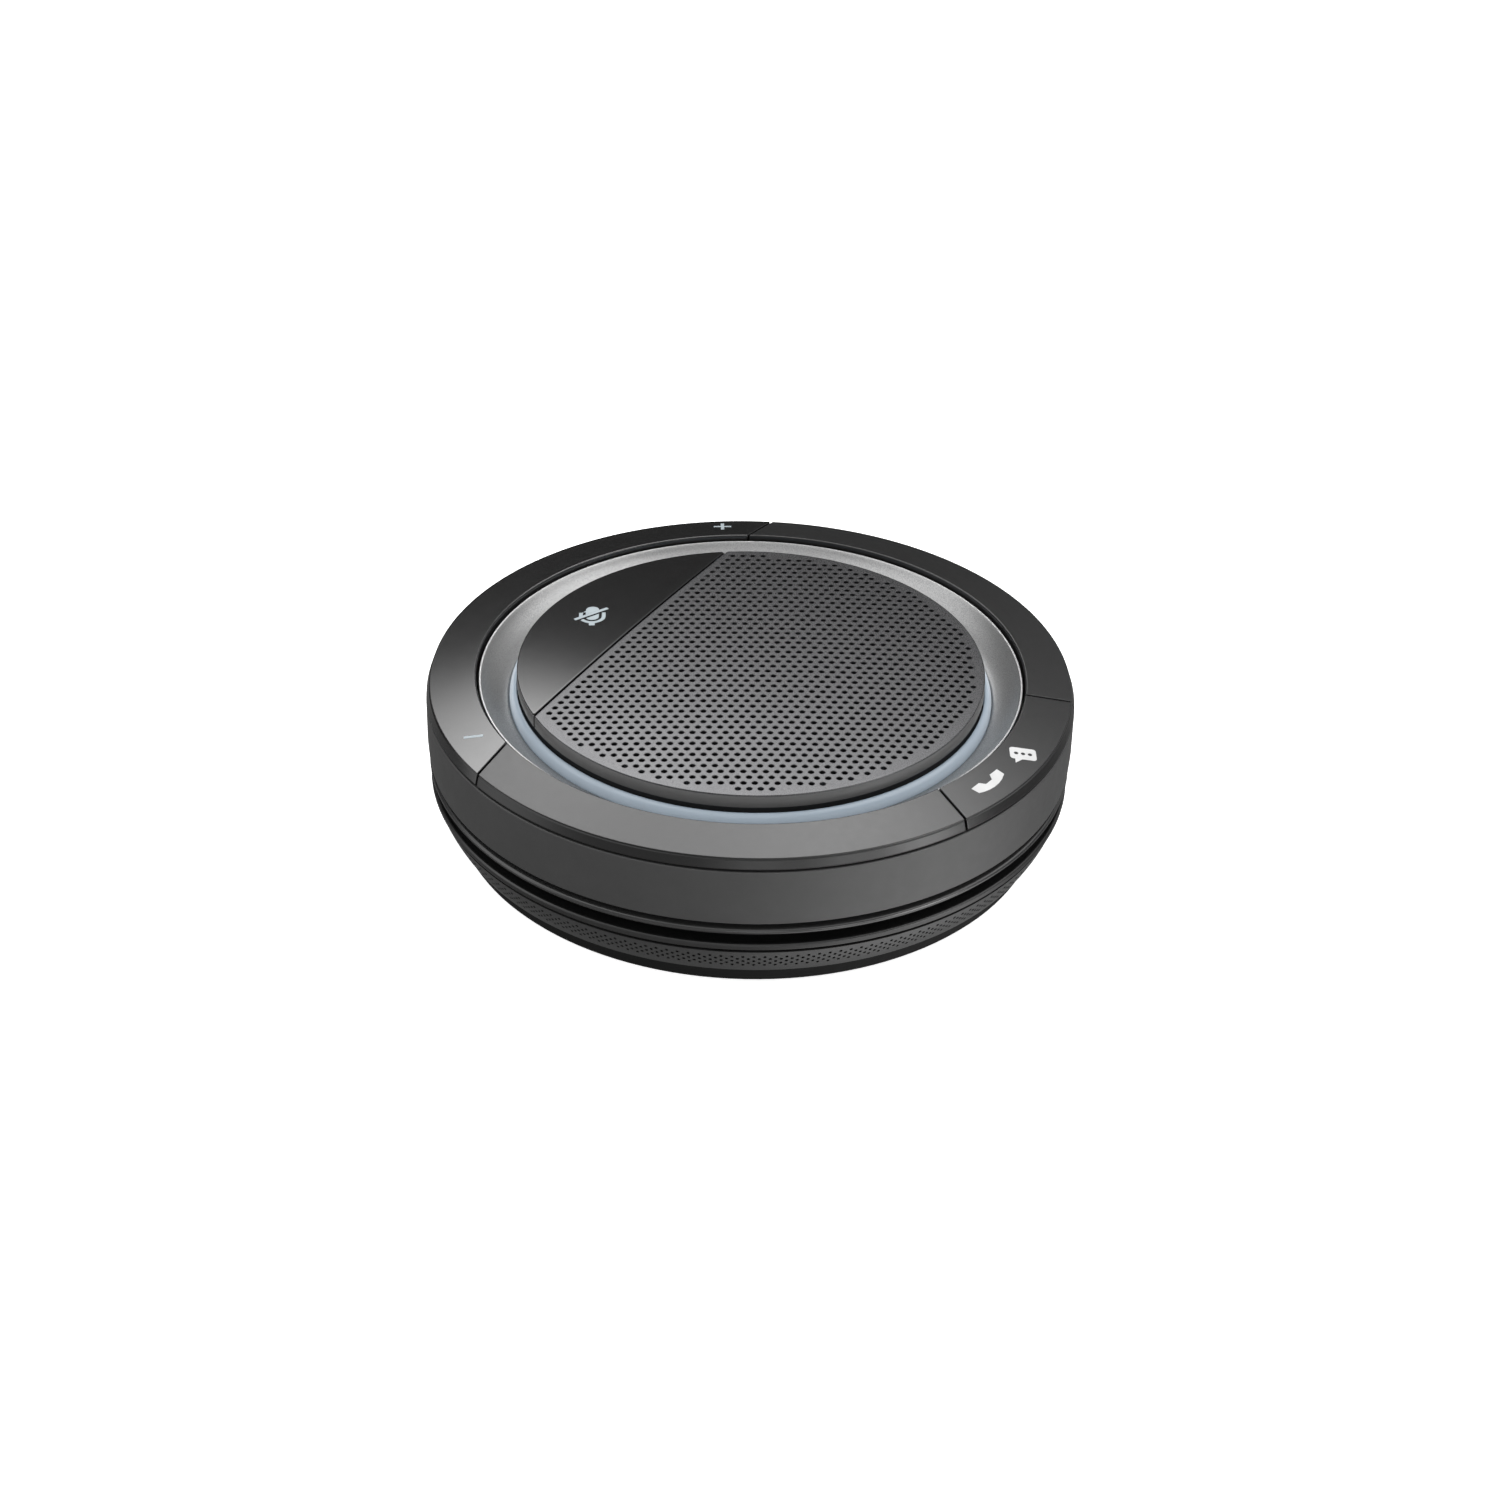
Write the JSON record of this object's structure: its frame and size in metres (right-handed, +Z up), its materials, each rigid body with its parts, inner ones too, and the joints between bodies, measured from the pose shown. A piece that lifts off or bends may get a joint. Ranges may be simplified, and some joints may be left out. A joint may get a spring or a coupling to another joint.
{
  "type": "conference speakerphone",
  "caption": "Round tabletop speakerphone with a ring of rocker keys, a mute key beside a domed speaker grille, a lit moat and a tapered perforated base.",
  "frame": {"origin": "on the table under the centre of the round body, at the bottom of the rubber foot", "axes": "+Z up along the axis of the round body; +X to the right along the rows of grille holes; -Y towards the front"},
  "size_m": [0.11, 0.11, 0.0299],
  "materials": {
    "foot_rubber": "matte, fine moulded grain",
    "base_plastic": "matte spark-eroded texture",
    "base_mesh": "satin black with a field of fine holes",
    "rim_plastic": "satin black",
    "inner_plastic": "plain black moulding",
    "lip_gloss": "semi-gloss charcoal",
    "wall_plastic": "fine matte texture",
    "ring_plastic": "satin charcoal with a very fine texture",
    "key_gloss": "semi-gloss black",
    "symbol_grey": "pale blue-grey print",
    "symbol_white": "white print",
    "bowl_silver": "speckled metallic silver paint",
    "light_diffuser": "translucent pale blue diffuser",
    "disc_rim_plastic": "fine matte texture",
    "grille_metal": "satin metallic grey, perforated",
    "acoustic_cloth": "fine black woven mesh",
    "mute_gloss": "glossy black",
    "steel": "plain",
    "circuit_board": "green solder mask",
    "led_white": "clear lens over phosphor",
    "gold_can": "plated can",
    "chip_plastic": "moulded package",
    "battery_foil": "laminated pouch",
    "foam": "closed-cell foam",
    "ferrite": "sintered ferrite",
    "copper_wire": "enamelled copper winding",
    "paper_cone": "coated paper",
    "surround_rubber": "rubber half roll",
    "spider_cloth": "resin-treated cloth"
  },
  "bodies": {
    "housing": {"rubber_foot": "foot_rubber", "base_plate": "base_plastic", "lower_grille": "base_mesh", "base_rim": "rim_plastic", "middle_tray": "inner_plastic", "lip_ring": "lip_gloss", "side_wall": "wall_plastic", "front_trim": "ring_plastic", "back_trim": "ring_plastic", "bowl_ring": "bowl_silver", "light_ring": "light_diffuser", "disc_rim": "disc_rim_plastic", "grille": "grille_metal", "grille_cloth": "acoustic_cloth", "chassis": "inner_plastic", "pivot_pins": "steel", "key_board": "circuit_board", "mute_board": "circuit_board", "leds": "led_white", "key_switches": "steel", "microphones": "gold_can", "main_board": "circuit_board", "board_chips": "chip_plastic", "usb_shell": "steel", "usb_tongue": "inner_plastic", "battery": "battery_foil", "battery_foam": "foam", "speaker_basket": "inner_plastic", "speaker_plate": "steel", "speaker_magnet": "ferrite", "speaker_yoke": "steel", "surround": "surround_rubber", "spider": "spider_cloth", "speaker_gasket": "foam", "base_screws": "steel", "chassis_screws": "steel", "speaker_screws": "steel"},
    "mute_button": {"mute_key": "mute_gloss", "mute_symbol": "symbol_grey"},
    "volume_rocker": {"volume_key": "key_gloss", "volume_symbols": "symbol_grey"},
    "call_rocker": {"call_key": "ring_plastic", "call_symbols": "symbol_white"},
    "speaker_diaphragm": {"speaker_cone": "paper_cone", "dust_cap": "paper_cone", "voice_coil": "copper_wire"}
  },
  "joints": [
    {"name": "mute_press", "type": "slide", "parent": "housing", "child": "mute_button", "axis": [0, 0, 1], "range_m": [-0.0003, 0], "stiffness_N_per_m": 4000, "springref_m": 0.0001},
    {"name": "volume_rock", "type": "hinge", "parent": "housing", "child": "volume_rocker", "pos_m": [-0.0433, 0.025, 0.0238], "axis": [-0.866, 0.5, 0], "range_deg": [-0.3, 0.3], "stiffness_Nm_per_rad": 6},
    {"name": "call_rock", "type": "hinge", "parent": "housing", "child": "call_rocker", "pos_m": [0.0433, -0.025, 0.0238], "axis": [0.866, -0.5, 0], "range_deg": [-0.7, 0.7], "stiffness_Nm_per_rad": 1},
    {"name": "cone_stroke", "type": "slide", "parent": "housing", "child": "speaker_diaphragm", "axis": [0, 0, 1], "range_m": [-0.0005, 0.0005], "stiffness_N_per_m": 1500, "deforming": ["surround", "spider"]}
  ]
}
